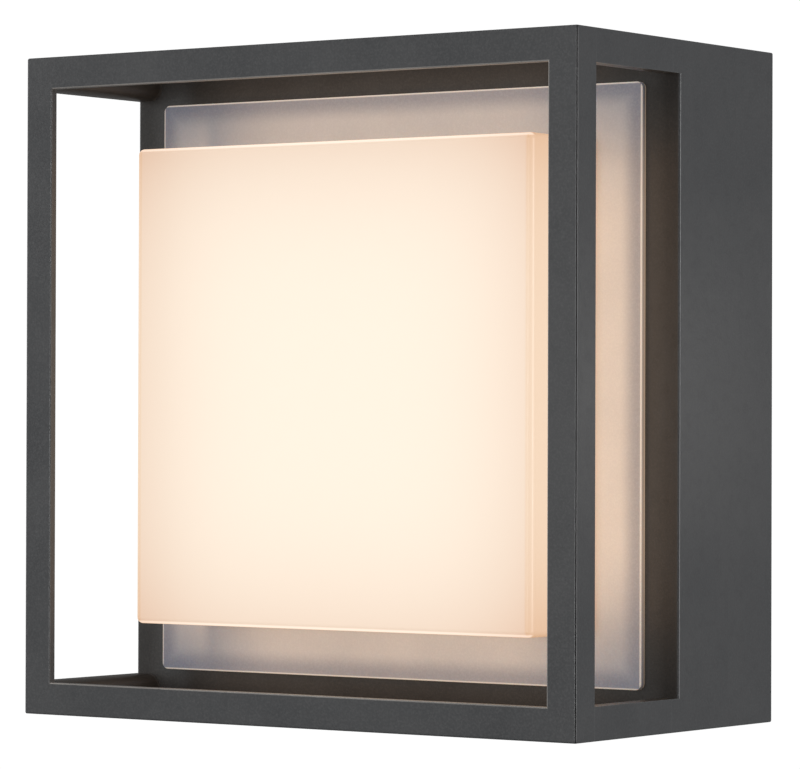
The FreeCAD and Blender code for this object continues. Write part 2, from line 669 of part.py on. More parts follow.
b = new_body("driver_case")
s = sketch(b, "driver_outline", "D_GEAR_BACK - driver_thk")
rect(s, "driver_l", "driver_w", "0", "driver_z")
pad(b, s, "driver_thk")
fillet(b, "driver_corner_round", "2.5",
       lambda q, e: along(q, "Y") and near(abs(q.XMin), val("driver_l/2")), 4)
s = sketch(b, "driver_ears", "D_GEAR_BACK - 3")
rect(s, "driver_l + 22", "16", "0", "driver_z")
pad(b, s, "3")
s = sketch(b, "driver_ear_holes", "D_GEAR_BACK - 3")
for sx in ("-1 * ", ""):
    circle(s, "clear_r", sx + "ear_x", "driver_z")
pocket(b, s, "3")
s = sketch(b, "driver_ports", "driver_l / 2 - 3", role="YZ_Plane")
circle(s, "wire_r + 0.1", "0 - wire_dist", "driver_z - 4")
circle(s, "wire_r + 0.1", "0 - wire_dist", "driver_z + 4")
before = volume(b)
f = b.newObject("PartDesign::Pocket", "driver_ports_right")
f.Profile = s
f.Reversed = True
f.setExpression("Length", x("4"))
doc.recompute()
grew(b, before, -1, "driver_ports_right")
s = sketch(b, "driver_ports_in", "3 - driver_l / 2", role="YZ_Plane")
circle(s, "wire_r + 0.1", "0 - wire_dist", "driver_z - 4")
circle(s, "wire_r + 0.1", "0 - wire_dist", "driver_z + 4")
before = volume(b)
f = b.newObject("PartDesign::Pocket", "driver_ports_left")
f.Profile = s
f.setExpression("Length", x("4"))
doc.recompute()
grew(b, before, -1, "driver_ports_left")
node("driver_case", b)

b = new_body("driver_lid")
s = sketch(b, "lid_outline", "D_GEAR_BACK - driver_thk - driver_lid")
rect(s, "driver_l", "driver_w", "0", "driver_z")
pad(b, s, "driver_lid")
fillet(b, "lid_corner_round", "2.5",
       lambda q, e: along(q, "Y") and near(abs(q.XMin), val("driver_l/2")), 4)
YL = -val("D_GEAR_BACK - driver_thk - driver_lid")
fillet(b, "lid_top_round", "1", lambda q, e: near(q.YMin, YL) and near(q.YMax, YL))
node("driver_lid", b)

# Three-pole terminal block: a plastic body with three channels, brass clamps in them, and two screws a pole.
poles = ("-1 * term_pitch", "0", "term_pitch")
T0, T1 = "D_GEAR_BACK - term_thk", "D_GEAR_BACK"
blk = box("term_block", "term_l", T0, T1, "term_w", "0", "term_z")
blk = soften("term_block_soft", blk, "1", lambda q, e: near(q.YMin, -val(T0)) and near(q.YMax, -val(T0)))
tools = []
for k, cx in enumerate(poles):
    tools.append(box("term_channel_%d" % k, "5.2", "wire_dist - 3.6", "wire_dist + 2.6", "term_w + 2", cx, "term_z"))
    for m, dz in enumerate(("-5", "+5")):
        tools.append(rod("term_well_%d%d" % (k, m), "2.1", T0 + " - 1", "wire_dist - 3", cx, "term_z " + dz))
for k, cx in enumerate(("-1 * term_pitch / 2", "term_pitch / 2")):
    tools.append(rod("term_fix_%d" % k, "1.3", T0 + " - 1", T1 + " + 1", cx, "term_z"))
    tools.append(rod("term_fix_well_%d" % k, "2.1", T0 + " - 1", T1 + " - 4", cx, "term_z"))
node("terminal_block", cut("terminal_block_cut", blk, fuse("term_tools", tools)))

clamps, tscrews = [], []
for k, cx in enumerate(poles):
    c = box("clamp_%d" % k, "5", "wire_dist - 3.4", "wire_dist + 2.5", "16", cx, "term_z")
    holes = [pin_z("clamp_bore_%d" % k, "wire_r + 0.3", "term_z - 9", "term_z + 9", cx, "wire_dist")]
    for m, dz in enumerate(("-5", "+5")):
        holes.append(rod("clamp_tap_%d%d" % (k, m), "1.4", "wire_dist - 4", "wire_dist", cx, "term_z " + dz))
        tscrews.append(screw("tscrew_%d%d" % (k, m), cx, "term_z " + dz, "wire_dist - 3.6", "wire_dist - 1.35",
                             "1.9", "2.2", "1.3", "0.9", "wall"))
    clamps.append(cut("clamp_cut_%d" % k, c, fuse("clamp_holes_%d" % k, holes)))
node("terminal_clamps", group("terminal_clamps_group", clamps))
node("terminal_screws", group("terminal_screws_group", tscrews))
node("terminal_block_screws", group("terminal_block_screws_group", [
    screw("tbscrew_%d" % k, cx, "term_z", T1 + " - 4", "D_GEAR", "1.9", "1.8", "1.0", "0.9", "wall")
    for k, cx in enumerate(("-1 * term_pitch / 2", "term_pitch / 2"))]))

# Earth point: ring terminal, washer and screw on the gear plate.
G = "D_GEAR_BACK"
ring = rod("lug_ring", "4", G + " - 0.8", G, "lug_x", "lug_z")
tongue = box("lug_tongue", "7", G + " - 0.8", G, "4", "lug_x - 6", "lug_z")
barrel = prim("Part::Cylinder", "lug_barrel", {"Radius": "2", "Height": "7.5"}, ("lug_x - 12.5", "0 - (%s - 2.0)" % G, "lug_z"), FreeCAD.Rotation(V(0, 1, 0), 90))
bore = prim("Part::Cylinder", "lug_bore", {"Radius": "wire_r + 0.1", "Height": "9.5"}, ("lug_x - 13.5", "0 - (%s - 2.0)" % G, "lug_z"), FreeCAD.Rotation(V(0, 1, 0), 90))
eye = rod("lug_eye", "2.15", G + " - 2", G + " + 1", "lug_x", "lug_z")
node("earth_lug", cut("earth_lug_cut", fuse("lug_body", [ring, tongue, barrel]), fuse("lug_holes", [bore, eye])))
washer = rod("washer_disc", "4.2", G + " - 1.6", G + " - 0.8", "lug_x", "lug_z")
weye = rod("washer_eye", "2.15", G + " - 2", G, "lug_x", "lug_z")
node("earth_washer", cut("earth_washer_cut", washer, weye))
node("earth_screw", screw("earth_screw_part", "lug_x", "lug_z", G + " - 1.6", "D_GEAR + 2", "3.5", "2.6", "1.6", "1.5", "wall"))

# ================================================================ screws
node("gear_plate_screws", group("gear_plate_screws_group", [
    screw("gscrew_%d%d" % (i, j), sx + "pillar_at", sz + "pillar_at", G, "D_GEAR + 8", "2.8", "2.2", "1.2", "1.2", "wall")
    for i, sx in enumerate(("-1 * ", "")) for j, sz in enumerate(("-1 * ", ""))]))
node("driver_screws", group("driver_screws_group", [
    screw("dscrew_%d" % i, sx + "ear_x", "driver_z", G + " - 3", "D_GEAR + 1.2", "2.6", "2.0", "1.2", "1.1", "wall")
    for i, sx in enumerate(("-1 * ", ""))]))
node("diffuser_screws", group("diffuser_screws_group", [
    screw("pscrew_%d%d" % (i, j), sx + "post_at", sz + "post_at", "D_WALL_BACK - pan_thk", "D_HOUSE", "2.8", "2.0", "1.2", "1.2", "wall")
    for i, sx in enumerate(("-1 * ", "")) for j, sz in enumerate(("-1 * ", ""))]))
node("board_screws", group("board_screws_group", [
    screw("bscrew_%d%d" % (i, j), sx + "board_hole", sz + "board_hole", "D_BOARD", "D_GEAR", "2.7", "1.9", "1.2", "1.2", "front")
    for i, sx in enumerate(("-1 * ", "")) for j, sz in enumerate(("-1 * ", ""))]))

# ================================================================ lead grommets: one in the pan's floor, one in the gear plate
def grommet(name, d0, d1):
    neck = rod(name + "_neck", "lead_hole_r", d0, d1, "0", "lead_z")
    lip_a = rod(name + "_lip_a", "lead_lip_r", "(%s) - 0.8" % d0, d0, "0", "lead_z")
    lip_b = rod(name + "_lip_b", "lead_lip_r", d1, "(%s) + 0.8" % d1, "0", "lead_z")
    hole = rod(name + "_hole", "lead_bore_r", "(%s) - 2" % d0, "(%s) + 2" % d1, "0", "lead_z")
    return cut(name, fuse(name + "_body", [neck, lip_a, lip_b]), hole)


node("lead_grommets", group("lead_grommets_group", [
    grommet("pan_grommet", "D_FLOOR_BACK", "D_FLOOR"), grommet("gear_grommet", "D_GEAR_BACK", "D_GEAR")]))

# ================================================================ wall bracket side
b = new_body("wall_bracket")
s = sketch(b, "bracket_sheet", "0")
rect(s, "bracket_w", "tab_top - tab_low", "0", "(tab_top + tab_low) / 2")
pad(b, s, "bracket_thk")
s = sketch(b, "bracket_tabs", "0")
for sx in ("-1 * ", ""):
    rect(s, "tab_w", "bracket_thk", sx + "tab_x", "tab_top - bracket_thk / 2")
    rect(s, "tab_w", "bracket_thk", sx + "tab_x", "tab_low + bracket_thk / 2")
pad(b, s, "tab_dp")
s = sketch(b, "bracket_collar", "0")
circle(s, "collar_out")
pad(b, s, "collar_dp")
s = sketch(b, "bracket_cable_hole", "0")
circle(s, "collar_in")
pocket(b, s, "collar_dp")
s = sketch(b, "bracket_slots", "0")
slot(s, "slot_len", "slot_r", "-1 * slot_gap / 2", "0")
slot(s, "slot_len", "slot_r", "slot_gap / 2", "0")
circle(s, "hole_r", "0", "hole_gap / 2")
circle(s, "hole_r", "0", "-1 * hole_gap / 2")
pocket(b, s, "bracket_thk")
fillet(b, "bracket_bend_inside", "1",
       lambda q, e: along(q, "X") and near(q.YMin, -val("bracket_thk")) and near(q.YMax, -val("bracket_thk"))
       and (near(q.ZMin, val("tab_top - bracket_thk")) or near(q.ZMin, val("tab_low + bracket_thk"))) and near(q.XLength, val("tab_w")), 4)
fillet(b, "bracket_tab_round", "3",
       lambda q, e: along(q, "Z") and near(q.YMin, -val("tab_dp")) and near(q.ZLength, val("bracket_thk")), 8)
fillet(b, "bracket_outline_round", "1.5",
       lambda q, e: along(q, "X") and near(q.YMin, 0) and near(q.YMax, 0)
       and (near(q.ZMin, val("tab_top")) or near(q.ZMin, val("tab_low"))))
node("wall_bracket", b)

flange = rod("grommet_flange", "collar_out + 0.5", "collar_dp", "collar_dp + 2", "0", "0")
plug = rod("grommet_plug", "collar_in", "0.5", "collar_dp", "0", "0")
gbore = rod("grommet_bore", "cable_r", "0 - 1", "collar_dp + 3", "0", "0")
gbody = fuse("grommet_solid", [flange, plug])
gbody = soften("grommet_soft", gbody, "0.8", lambda q, e: near(q.YMin, -val("collar_dp + 2")) and near(q.YMax, -val("collar_dp + 2")) and q.XLength > 10)
node("cable_grommet", cut("cable_grommet_cut", gbody, gbore))

# Two clamp screws in the housing's underside that bear on the bracket's bottom tabs.
for sx, xn in (("-1 * ", "left"), ("", "right")):
    name = "clamp_screw_" + xn
    top = "tab_low - 0.05"
    body_ = pin_z(name + "_rod", "grub_r", "(%s) - grub_len" % top, top, sx + "tab_x", "grub_dist")
    doc.recompute()
    zt, zb = val(top), val(top) - val("grub_len")
    c = doc.addObject("Part::Chamfer", name + "_tip")
    c.Base = body_
    c.Edges = [(int(n[4:]), 0.6, 0.6) for n in edges_where(body_.Shape, lambda q, e: q.XLength > 1 and near(q.ZMin, q.ZMax) )]
    key = doc.addObject("Part::Prism", name + "_key")
    key.Polygon = 6
    key.setExpression("Circumradius", x("1.44"))
    key.setExpression("Height", x("4"))
    for axis, e in zip("xyz", (sx + "tab_x", "0 - grub_dist", "(%s) - grub_len - 1" % top)):
        key.setExpression(".Placement.Base." + axis, x(e))
    node(name, cut(name + "_cut", c, key))

doc.recompute()


# ================================================================ wires: straight runs joined by tangent arcs
def wire_solid(points, bend, radius):
    edges, cur, length = [], points[0], 0.0
    for i in range(1, len(points) - 1):
        a, p, c = points[i - 1], points[i], points[i + 1]
        u, w = (a - p), (c - p)
        u.normalize()
        w.normalize()
        half = u.getAngle(w) / 2
        run = bend / math.tan(half)
        p1, p2 = p + u * run, p + w * run
        mid_dir = u + w
        mid_dir.normalize()
        mid = p + mid_dir * (bend / math.sin(half) - bend)
        edges.append(Part.makeLine(cur, p1))
        edges.append(Part.Arc(p1, mid, p2).toShape())
        length += (p1 - cur).Length + bend * (math.pi - 2 * half)
        cur = p2
    edges.append(Part.makeLine(cur, points[-1]))
    length += (points[-1] - cur).Length
    path = Part.Wire(edges)
    start = points[1] - points[0]
    ring = Part.Wire([Part.makeCircle(radius, points[0], start)])
    solid = path.makePipeShell([ring], True, False)
    if solid.ShapeType != "Solid":
        solid = Part.Solid(solid) if solid.ShapeType == "Shell" else solid.Solids[0]
    if solid.Volume < 0:
        solid.reverse()
    share = solid.Volume / (math.pi * radius * radius * length)
    if abs(share - 1) > 0.01:
        raise RuntimeError("a wire's volume is %.4f of its section times its length" % share)
    return solid, length


def wire(name, points, bend, radius):
    """points are (X, distance from the wall, Z)."""
    pts = [V(val(a), -val(d), val(c)) for a, d, c in points]
    solid, length = wire_solid(pts, val(bend), val(radius))
    o = doc.addObject("Part::Feature", name + "_sweep")
    o.Shape = solid
    o.Placement = FreeCAD.Placement(V(0, 0, 0), FreeCAD.Rotation(V(0, 0, 1), 0))
    print("wire %s length %.1f mm" % (name, length))
    return node(name, o)


end_z = "term_z + term_w / 2 - 6"
wd = "wire_dist"
wire("live_wire", [("-1 * term_pitch", wd, end_z), ("-1 * term_pitch", wd, "-12"), ("-76", wd, "-12"), ("-76", wd, "driver_z + 4"),
                   ("2 - driver_l / 2", wd, "driver_z + 4")], "8", "wire_r")
wire("neutral_wire", [("0", wd, end_z), ("0", wd, "-4"), ("-70", wd, "-4"), ("-70", wd, "driver_z - 4"),
                      ("2 - driver_l / 2", wd, "driver_z - 4")], "8", "wire_r")
wire("earth_wire", [("term_pitch", wd, end_z), ("term_pitch", wd, "lug_z"), ("lug_x - 32", wd, "lug_z"),
                    ("lug_x - 21", "D_GEAR_BACK - 2.0", "lug_z"), ("lug_x - 6.5", "D_GEAR_BACK - 2.0", "lug_z")], "7", "wire_r")
ld = "D_BOARD + 1.25"
wire("led_lead_positive", [("driver_l / 2 - 2", wd, "driver_z + 4"), ("70", wd, "driver_z + 4"), ("70", wd, "lead_z"), ("1.1", wd, "lead_z"),
                           ("1.1", ld, "lead_z"), ("1.1", ld, "51")], "4", "lead_r")
wire("led_lead_negative", [("driver_l / 2 - 2", wd, "driver_z - 4"), ("68", wd, "driver_z - 4"), ("76", wd + " - 4", "driver_z - 4"),
                           ("76", wd + " - 4", "lead_z"), ("-1.1", wd + " - 4", "lead_z"), ("-1.1", ld, "lead_z"), ("-1.1", ld, "51")], "3", "lead_r")

# ================================================================ checks and output
doc.recompute()
bad = []
for o in doc.Objects:
    state = [t for t in o.State if t in ("Invalid", "Error")]
    if state:
        bad.append("%s %s" % (o.Name, state))
for name, o in NODES:
    if o.Shape.isNull() or not o.Shape.isValid() or not o.Shape.Solids:
        bad.append(name + " has no valid solid")
if bad:
    raise RuntimeError("; ".join(bad))
for name, o in NODES:
    o.Shape.exportStep("parts/%s.step" % name)
    print("%-26s %2d solids %10.1f mm3" % (name, len(o.Shape.Solids), o.Shape.Volume))
print(len(NODES), "nodes")
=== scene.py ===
import math

import bpy
from mathutils import Matrix, Vector

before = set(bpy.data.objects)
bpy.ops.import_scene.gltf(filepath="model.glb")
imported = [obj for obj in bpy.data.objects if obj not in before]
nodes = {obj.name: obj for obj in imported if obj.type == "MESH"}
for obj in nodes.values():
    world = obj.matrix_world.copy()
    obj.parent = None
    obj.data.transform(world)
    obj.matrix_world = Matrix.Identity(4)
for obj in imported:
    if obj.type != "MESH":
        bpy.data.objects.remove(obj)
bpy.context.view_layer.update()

scene = bpy.context.scene


# ------------------------------------------------------------------ material helpers
class Mat:
    """A Principled material with small helpers for its procedural inputs."""

    def __init__(self, name):
        self.m = bpy.data.materials.new(name)
        self.m.use_nodes = True
        self.t = self.m.node_tree
        self.t.nodes.clear()
        self.out = self.t.nodes.new("ShaderNodeOutputMaterial")
        self.b = self.t.nodes.new("ShaderNodeBsdfPrincipled")
        self.t.links.new(self.b.outputs["BSDF"], self.out.inputs["Surface"])
        self.co = self.t.nodes.new("ShaderNodeTexCoord").outputs["Object"]

    def set(self, **kw):
        for k, v in kw.items():
            self.b.inputs[k.replace("_", " ")].default_value = v
        return self

    def link(self, a, b):
        self.t.links.new(a, b)

    def noise(self, scale, detail=2.0, rough=0.5, co=None, distortion=0.0):
        n = self.t.nodes.new("ShaderNodeTexNoise")
        n.inputs["Scale"].default_value = scale
        n.inputs["Detail"].default_value = detail
        n.inputs["Roughness"].default_value = rough
        n.inputs["Distortion"].default_value = distortion
        self.link(co or self.co, n.inputs["Vector"])
        return n.outputs["Fac"]

    def voronoi(self, scale, feature="F1", out="Distance", co=None):
        n = self.t.nodes.new("ShaderNodeTexVoronoi")
        n.feature = feature
        n.inputs["Scale"].default_value = scale
        self.link(co or self.co, n.inputs["Vector"])
        return n.outputs[out]

    def stretch(self, sx, sy, sz):
        n = self.t.nodes.new("ShaderNodeMapping")
        n.inputs["Scale"].default_value = (sx, sy, sz)
        self.link(self.co, n.inputs["Vector"])
        return n.outputs["Vector"]

    def span(self, fac, lo, hi, a=0.0, b=1.0):
        """fac from a..b to lo..hi, clamped."""
        n = self.t.nodes.new("ShaderNodeMapRange")
        n.inputs["From Min"].default_value = a
        n.inputs["From Max"].default_value = b
        n.inputs["To Min"].default_value = lo
        n.inputs["To Max"].default_value = hi
        self.link(fac, n.inputs["Value"])
        return n.outputs["Result"]

    def smooth(self, fac, lo, hi, a, b):
        out = self.span(fac, lo, hi, a, b)
        out.node.interpolation_type = "SMOOTHSTEP"
        return out

    def math(self, op, a, b=None, c=None):
        n = self.t.nodes.new("ShaderNodeMath")
        n.operation = op
        for i, v in enumerate((a, b, c)):
            if v is None:
                continue
            if isinstance(v, (int, float)):
                n.inputs[i].default_value = v
            else:
                self.link(v, n.inputs[i])
        return n.outputs[0]

    def mix(self, fac, a, b, kind="MIX"):
        """Colours a and b, each a tuple or a socket."""
        n = self.t.nodes.new("ShaderNodeMix")
        n.data_type = "RGBA"
        n.blend_type = kind
        for sock, v in ((n.inputs[0], fac), (n.inputs[6], a), (n.inputs[7], b)):
            if isinstance(v, (int, float)):
                sock.default_value = v
            elif isinstance(v, tuple):
                sock.default_value = (*v, 1.0)[:4]
            else:
                self.link(v, sock)
        return n.outputs[2]

    def colour(self, sock):
        self.link(sock, self.b.inputs["Base Color"])
        return self

    def rough(self, sock):
        self.link(sock, self.b.inputs["Roughness"])
        return self

    def bump(self, height, strength, distance, normal=None):
        n = self.t.nodes.new("ShaderNodeBump")
        n.inputs["Strength"].default_value = strength
        n.inputs["Distance"].default_value = distance
        self.link(height, n.inputs["Height"])
        if normal is not None:
            self.link(normal, n.inputs["Normal"])
        self.link(n.outputs["Normal"], self.b.inputs["Normal"])
        return n.outputs["Normal"]

    def edges(self, radius):
        """About 1 on sharp convex edges, 0 elsewhere."""
        g = self.t.nodes.new("ShaderNodeNewGeometry")
        bev = self.t.nodes.new("ShaderNodeBevel")
        bev.samples = 4
        bev.inputs["Radius"].default_value = radius
        dot = self.t.nodes.new("ShaderNodeVectorMath")
        dot.operation = "DOT_PRODUCT"
        self.link(bev.outputs["Normal"], dot.inputs[0])
        self.link(g.outputs["Normal"], dot.inputs[1])
        return self.span(dot.outputs["Value"], 1.0, 0.0, 0.75, 0.995)

    def axes(self):
        n = self.t.nodes.new("ShaderNodeSeparateXYZ")
        self.link(self.co, n.inputs[0])
        return n.outputs[0], n.outputs[1], n.outputs[2]


def paint_anthracite():
    """Fine-textured powder coat: broad drift, small mottling and grain, thin and lighter on the sharp edges; a painted
    highlight on the window's front edges, and painted shade, browned for the lamp's warm light, inside the cage.
    """
    a = Mat("anthracite_powder_coat")
    X, Y, Z = a.axes()
    ax, az = a.math("ABSOLUTE", X), a.math("ABSOLUTE", Z)
    broad = a.noise(9.0, 3.0, 0.55)
    cloud = a.noise(45.0, 4.0, 0.6)
    mottle = a.noise(240.0, 5.0, 0.65, distortion=0.4)
    grain = a.noise(1500.0, 2.0, 0.6)
    speck = a.voronoi(900.0)
    base = a.mix(a.span(broad, 0.0, 1.0, 0.3, 0.7), (0.070, 0.0725, 0.0765), (0.082, 0.0845, 0.0885))
    base = a.mix(a.span(cloud, 0.0, 0.6, 0.35, 0.75), base, (0.094, 0.0955, 0.098))
    base = a.mix(a.span(mottle, 0.55, 0.0, 0.30, 0.52), base, (0.062, 0.064, 0.067))
    base = a.mix(a.span(grain, 0.0, 0.45, 0.45, 0.8), base, (0.140, 0.141, 0.144))
    shelf = a.math("ABSOLUTE", a.math("ADD", Y, 0.0528))           # how far from the plane of the housing's front face
    wear = a.math("MULTIPLY", a.edges(0.0007), a.span(cloud, 0.10, 0.45, 0.35, 0.65))
    wear = a.math("MULTIPLY", wear, a.smooth(shelf, 0.0, 1.0, 0.0008, 0.0016))
    base = a.mix(wear, base, (0.17, 0.17, 0.17))
    lip_highlight = a.math("MULTIPLY", a.smooth(a.math("MAXIMUM", ax, az), 1.0, 0.0, 0.09052, 0.09068),
                 a.smooth(Y, 1.0, 0.0, -0.10722, -0.10702))        # painted highlight along the window's front edges
    # the left post's inner edge gets no painted highlight
    lip_highlight = a.math("MULTIPLY", lip_highlight, a.smooth(X, 0.0, 1.0, -0.0903, -0.0899))
    spine = a.math("MULTIPLY", a.smooth(ax, 0.0, 1.0, 0.09950, 0.09965),
                   a.smooth(Y, 1.0, 0.0, -0.10712, -0.10700))      # the front frame's upright outer edges, darker
    # the painted highlight is a pale warm grey, patchy with the cloud noise
    base = a.mix(a.math("MULTIPLY", lip_highlight, a.span(cloud, 0.6, 1.0, 0.3, 0.6)), base, (0.36, 0.34, 0.32))
    # painted shade inside the cage, tinted brown for the lamp's warm light falling there, darkest in its corners
    cage_shade = a.math("MULTIPLY", a.smooth(a.math("MAXIMUM", ax, az), 1.0, 0.0, 0.0990, 0.0996),
                  a.math("MULTIPLY", a.smooth(Y, 0.0, 1.0, -0.1052, -0.1044), a.smooth(Y, 1.0, 0.0, -0.0524, -0.0516)))
    # painted corner shade: darker where both |X| and |Z| are large
    corner_shade = a.smooth(a.math("MINIMUM", ax, az), 0.0, 1.0, 0.058, 0.090)
    shade_tint = a.mix(corner_shade, (0.92, 0.72, 0.56), (0.50, 0.44, 0.38))
    # the housing face's left strip keeps almost none of the painted shade
    left_shade_relief = a.math("MULTIPLY", a.smooth(X, 1.0, 0.0, -0.084, -0.076), a.smooth(shelf, 1.0, 0.0, 0.0008, 0.0014))
    shade_tint = a.mix(left_shade_relief, shade_tint, (0.98, 0.94, 0.88))
    base = a.mix(cage_shade, base, shade_tint, "MULTIPLY")
    base = a.mix(spine, base, (0.004, 0.004, 0.005))
    a.colour(base)
    rough = a.math("ADD", a.span(cloud, 0.31, 0.38, 0.3, 0.7), a.span(grain, -0.03, 0.05, 0.3, 0.7))
    a.rough(a.math("ADD", rough, a.span(mottle, 0.05, 0.0, 0.30, 0.55)))
    a.set(Specular_IOR_Level=0.62)
    h = a.math("ADD", a.math("MULTIPLY", grain, 0.6), a.math("MULTIPLY", speck, 0.4))
    h = a.math("ADD", h, a.math("MULTIPLY", mottle, 1.4))
    a.bump(h, 0.45, 0.00008)
    return a.m


def opal():
    """Milky acrylic lit from behind: brightest in the middle, a little warmer and dimmer at the edges."""
    a = Mat("opal_acrylic_lit")
    X, Y, Z = a.axes()
    u = a.math("MINIMUM", a.math("DIVIDE", a.math("ABSOLUTE", X), 0.0723), 1.0)
    w = a.math("MINIMUM", a.math("DIVIDE", a.math("ABSOLUTE", Z), 0.0723), 1.0)
    fall = a.math("ADD", a.math("POWER", u, 3.5), a.math("POWER", w, 3.5))
    haze = a.noise(14.0, 2.0, 0.5)
    fall = a.math("ADD", fall, a.span(haze, -0.04, 0.04, 0.3, 0.7))
    rgb = a.t.nodes.new("ShaderNodeCombineColor")
    wall = a.math("MAXIMUM", a.smooth(a.math("ABSOLUTE", X), 0.0, 1.0, 0.0698, 0.0708),
                  a.smooth(a.math("ABSOLUTE", Z), 0.0, 1.0, 0.0712, 0.0722))
    rim = a.smooth(a.edges(0.0016), 0.0, 1.0, 0.35, 1.0)
    brow = a.math("MULTIPLY", a.smooth(a.math("ABSOLUTE", Z), 0.0, 1.0, 0.0712, 0.0718), a.smooth(Y, 1.0, 0.0, -0.0874, -0.0862))
    for i, (mid, drop, lift) in enumerate(OPAL_GLOW):
        v = a.math("MULTIPLY_ADD", fall, -drop, mid)
        v = a.math("MULTIPLY_ADD", wall, lift, v)
        v = a.math("MULTIPLY_ADD", rim, 0.08, v)
        v = a.math("MULTIPLY_ADD", brow, 0.30, v)
        a.link(a.math("MAXIMUM", v, 0.0), rgb.inputs[i])
    a.link(rgb.outputs[0], a.b.inputs["Emission Color"])
    a.set(Emission_Strength=1.0)
    a.colour(a.mix(a.span(haze, 0.0, 1.0, 0.3, 0.7), (0.49, 0.48, 0.46), (0.51, 0.50, 0.48)))
    a.rough(a.span(a.noise(160.0, 2.0), 0.34, 0.42, 0.3, 0.7))
    a.set(Specular_IOR_Level=0.35)
    a.bump(a.noise(700.0, 2.0), 0.06, 0.00002)
    return a.m


def frosted():
    """Sand-blasted acrylic. A painted glow stands for the opal box's light falling on it round the box, most at the
    middle of each side, and fades to the cool grey of the bare sheet at the corners and the rim; the sheet is painted
    lighter on the right and towards the bottom. Its cut edges carry a thin painted highlight."""
    a = Mat("frosted_acrylic")
    X, Y, Z = a.axes()
    ax, az = a.math("ABSOLUTE", X), a.math("ABSOLUTE", Z)
    far = a.math("MAXIMUM", ax, az)
    rim = a.smooth(far, 0.0, 1.0, 0.0805, 0.0868)
    haze = a.noise(22.0, 3.0, 0.55)
    frost = a.noise(1800.0, 2.0, 0.6)
    body = a.mix(a.span(haze, 0.0, 1.0, 0.35, 0.7), (0.310, 0.332, 0.385), (0.355, 0.372, 0.420))
    # inside the rim the sheet is painted lighter, a painted backlight from the white pan flange behind it; the rim
    # band keeps the bare sheet's cool grey
    body = a.mix(rim, body, (0.225, 0.240, 0.300))
    body = a.mix(a.span(frost, 0.0, 0.12, 0.4, 0.8), body, (0.75, 0.75, 0.75))
    front = a.math("MAXIMUM", a.smooth(Y, 1.0, 0.0, -0.0546, -0.0543), a.smooth(Y, 0.0, 1.0, -0.0532, -0.0530))
    # painted highlight: a thin bright line on the cut edges of the sheet
    line = a.math("MULTIPLY", a.smooth(far, 0.0, 1.0, 0.0877, 0.0880), front)
    # painted light: the sheet is darker and cooler on the left, lighter on the right, and lighter towards the bottom
    body = a.mix(a.span(X, 0.0, 1.0, -0.088, 0.088), a.mix(1.0, body, (0.90, 0.93, 0.97), "MULTIPLY"),
                 a.mix(1.0, body, (1.16, 1.15, 1.14), "MULTIPLY"))
    body = a.mix(a.span(Z, 1.0, 0.0, -0.088, -0.040), body, a.mix(1.0, body, (1.18, 1.17, 1.17), "MULTIPLY"))
    body = a.mix(a.math("MULTIPLY", line, 0.7), body, (0.80, 0.79, 0.77))
    a.colour(body)
    # painted glow: emission standing for the opal box's light falling on the plate, along its sides and along its top
    # and bottom
    side = a.math("MULTIPLY", a.smooth(ax, 0.0, 1.0, 0.068, 0.0735), a.smooth(az, 1.0, 0.0, 0.044, 0.096))
    lid = a.math("MULTIPLY", a.smooth(az, 0.0, 1.0, 0.068, 0.0735), a.smooth(ax, 1.0, 0.0, 0.040, 0.086))
    # the painted glow is stronger towards the bottom
    lean = a.span(Z, 1.15, 0.97, -0.088, 0.088)
    painted_glow = a.math("ADD", a.math("MULTIPLY", side, PLATE_SIDE_GLOW), a.math("MULTIPLY", lid, PLATE_LID_GLOW))
    painted_glow = a.math("MULTIPLY", a.math("MULTIPLY", painted_glow, lean), a.span(haze, 0.93, 1.07, 0.3, 0.7))
    # the painted glow weakens over the rim band
    painted_glow = a.math("MULTIPLY", painted_glow, a.span(rim, 1.0, 0.52))
    # the cut edges' painted highlight also glows
    painted_glow = a.math("ADD", painted_glow, a.math("MULTIPLY", line, 0.16))
    a.link(painted_glow, a.b.inputs["Emission Strength"])
    a.set(Emission_Color=(1.0, 0.67, 0.40, 1.0))
    a.rough(a.span(frost, 0.40, 0.56, 0.3, 0.7))
    a.set(Specular_IOR_Level=0.45, Subsurface_Weight=0.15, Subsurface_Scale=0.004)
    a.bump(frost, 0.18, 0.00003)
    return a.m


def steel(name, base, rough, brushed=None, spangle=0.0):
    a = Mat(name)
    patch = a.voronoi(170.0, out="Color")
    bw = a.t.nodes.new("ShaderNodeRGBToBW")
    a.link(patch, bw.inputs[0])
    cloud = a.noise(30.0, 4.0, 0.6)
    lo = tuple(c * (0.86 - spangle) for c in base)
    hi = tuple(min(1.0, c * (1.10 + spangle)) for c in base)
    col = a.mix(a.span(cloud, 0.0, 1.0, 0.3, 0.7), lo, hi)
    if spangle:
        col = a.mix(a.math("MULTIPLY", bw.outputs[0], 0.5), col, hi)
    col = a.mix(a.math("MULTIPLY", a.edges(0.0005), 0.5), col, tuple(min(1.0, c * 1.35) for c in base))
    a.colour(col)
    if brushed:
        line = a.noise(900.0, 2.0, 0.6, co=a.stretch(*brushed))
        a.rough(a.span(line, rough - 0.08, rough + 0.10, 0.3, 0.7))
        a.bump(line, 0.15, 0.00002)
    else:
        fine = a.noise(420.0, 3.0, 0.6)
        a.rough(a.span(fine, rough - 0.07, rough + 0.10, 0.3, 0.7))
        a.bump(fine, 0.10, 0.00002)
    a.set(Metallic=1.0)
    return a.m


